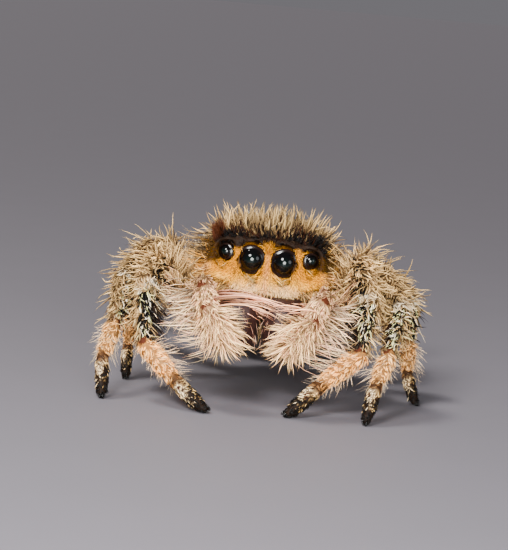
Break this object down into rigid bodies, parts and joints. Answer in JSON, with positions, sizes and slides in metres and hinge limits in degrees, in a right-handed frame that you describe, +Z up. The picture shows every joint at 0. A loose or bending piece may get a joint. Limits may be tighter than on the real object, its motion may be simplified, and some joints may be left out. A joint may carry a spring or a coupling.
{
  "type": "jumping spider",
  "caption": "Life-size female regal jumping spider standing alert on all her feet, with large forward eyes, a dense coat and an oval abdomen.",
  "frame": {"origin": "middle of the bounding box on the floor", "axes": "+Z up, -Y the way she faces, +X to her left"},
  "size_m": [0.01, 0.0184, 0.0058],
  "materials": {
    "grey_coat": "dense grey-beige hair over dark skin",
    "tan_coat": "short peach-tan hair, black at the toes",
    "cream_coat": "long cream hair",
    "jaw_bronze": "dark smooth horn with a bronze sheen",
    "eye_black": "black, wet-looking lens"
  },
  "bodies": {
    "root": {"cephalothorax": "grey_coat", "abdomen": "grey_coat", "spinnerets": "grey_coat", "stalk": "jaw_bronze", "eye_front_middle_right": "eye_black", "eye_front_side_right": "eye_black", "eye_small_right": "eye_black", "eye_rear_right": "eye_black", "chelicera_right": "jaw_bronze", "palp_right_femur": "cream_coat", "palp_right_tibia": "cream_coat", "palp_right_tarsus": "cream_coat", "eye_front_middle_left": "eye_black", "eye_front_side_left": "eye_black", "eye_small_left": "eye_black", "eye_rear_left": "eye_black", "chelicera_left": "jaw_bronze", "palp_left_femur": "cream_coat", "palp_left_tibia": "cream_coat", "palp_left_tarsus": "cream_coat", "leg1_right_femur": "grey_coat", "leg1_right_patella": "grey_coat", "leg1_right_tibia": "grey_coat", "leg1_right_metatarsus": "tan_coat", "leg1_right_tarsus": "tan_coat", "leg1_left_femur": "grey_coat", "leg1_left_patella": "grey_coat", "leg1_left_tibia": "grey_coat", "leg1_left_metatarsus": "tan_coat", "leg1_left_tarsus": "tan_coat", "leg2_right_femur": "grey_coat", "leg2_right_patella": "grey_coat", "leg2_right_tibia": "grey_coat", "leg2_right_metatarsus": "tan_coat", "leg2_right_tarsus": "tan_coat", "leg2_left_femur": "grey_coat", "leg2_left_patella": "grey_coat", "leg2_left_tibia": "grey_coat", "leg2_left_metatarsus": "tan_coat", "leg2_left_tarsus": "tan_coat", "leg3_right_femur": "grey_coat", "leg3_right_patella": "grey_coat", "leg3_right_tibia": "grey_coat", "leg3_right_metatarsus": "tan_coat", "leg3_right_tarsus": "tan_coat", "leg3_left_femur": "grey_coat", "leg3_left_patella": "grey_coat", "leg3_left_tibia": "grey_coat", "leg3_left_metatarsus": "tan_coat", "leg3_left_tarsus": "tan_coat", "leg4_right_femur": "grey_coat", "leg4_right_patella": "grey_coat", "leg4_right_tibia": "grey_coat", "leg4_right_metatarsus": "tan_coat", "leg4_right_tarsus": "tan_coat", "leg4_left_femur": "grey_coat", "leg4_left_patella": "grey_coat", "leg4_left_tibia": "grey_coat", "leg4_left_metatarsus": "tan_coat", "leg4_left_tarsus": "tan_coat"}
  },
  "joints": []
}
